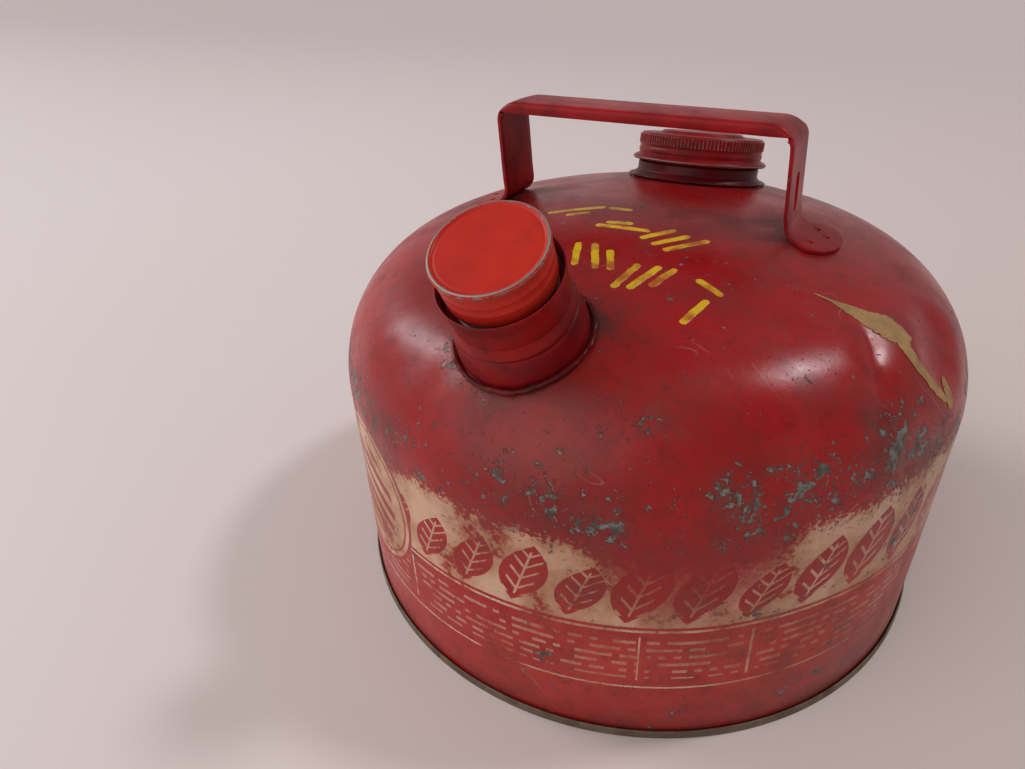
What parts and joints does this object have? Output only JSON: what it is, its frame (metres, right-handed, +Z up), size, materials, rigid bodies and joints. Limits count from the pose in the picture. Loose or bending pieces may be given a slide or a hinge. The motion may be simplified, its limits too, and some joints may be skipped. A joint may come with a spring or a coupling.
{
  "type": "round steel fuel can",
  "caption": "Round domed steel fuel can with strap handle, screw filler cap and a flexible pouring spout stored in its leaning front neck.",
  "frame": {"origin": "centre of the ring that the can stands on, at the standing surface", "axes": "+Z up, -Y towards the leaning spout, +Y towards the filler cap, X along the handle's grip"},
  "size_m": [0.2868, 0.2868, 0.2174],
  "materials": {
    "red_paint": "glossy red enamel, faded and chipped to bare galvanised steel, with grime in the corners",
    "orange_paint": "satin orange-red enamel, worn to bare metal along the rim",
    "bare_steel": "dull weathered zinc, dirty in the seam",
    "solder": "lumpy solder under chipped paint",
    "galvanised": "satin zinc plate",
    "rubber": "matt black"
  },
  "bodies": {
    "can": {"body_shell": "red_paint", "base_pan": "bare_steel", "seam_sealant": "rubber", "handle_strap": "red_paint", "filler_neck": "red_paint", "filler_neck_solder": "solder", "spout_neck": "red_paint", "spout_neck_solder": "solder"},
    "filler_seal": {"filler_cap_gasket": "rubber"},
    "filler_lid": {"filler_cap": "red_paint"},
    "flange_seal": {"spout_flange_gasket": "rubber"},
    "stored_spout": {"spout_ferrule": "galvanised", "spout_strainer": "galvanised", "spout_hose": "galvanised", "spout_tip": "galvanised"},
    "clamp_ring": {"spout_ring": "red_paint"},
    "mouth_seal": {"spout_cap_gasket": "rubber"},
    "mouth_cap": {"spout_cap": "orange_paint"}
  },
  "joints": [
    {"name": "filler_cap_rise", "type": "slide", "parent": "can", "child": "filler_seal", "axis": [-0.0075, 0.2279, 0.9736], "range_m": [0, 0.01155]},
    {"name": "filler_cap_turn", "type": "hinge", "parent": "filler_seal", "child": "filler_lid", "pos_m": [-0.0026, 0.079, 0.16743], "axis": [-0.0075, 0.2279, 0.9736], "range_deg": [0, 990]},
    {"name": "clamp_ring_rise", "type": "slide", "parent": "can", "child": "flange_seal", "axis": [-0.0138, -0.4382, 0.8988], "range_m": [0, 0.0105]},
    {"name": "spout_draw", "type": "slide", "parent": "flange_seal", "child": "stored_spout", "axis": [-0.0138, -0.4382, 0.8988], "range_m": [0, 0.178]},
    {"name": "clamp_ring_turn", "type": "hinge", "parent": "stored_spout", "child": "clamp_ring", "pos_m": [-0.0079, -0.0998, 0.1587], "axis": [-0.0138, -0.4382, 0.8988], "range_deg": [0, 900]},
    {"name": "spout_cap_rise", "type": "slide", "parent": "stored_spout", "child": "mouth_seal", "axis": [-0.0138, -0.4382, 0.8988], "range_m": [0, 0.0147]},
    {"name": "spout_cap_turn", "type": "hinge", "parent": "mouth_seal", "child": "mouth_cap", "pos_m": [-0.0079, -0.0998, 0.1587], "axis": [-0.0138, -0.4382, 0.8988], "range_deg": [0, 1260]}
  ],
  "couplings": [
    {"joint": "filler_cap_rise", "follows": "filler_cap_turn", "m_per_rad": 0.00066845},
    {"joint": "clamp_ring_rise", "follows": "clamp_ring_turn", "m_per_rad": 0.00066845},
    {"joint": "spout_cap_rise", "follows": "spout_cap_turn", "m_per_rad": 0.00066845}
  ]
}
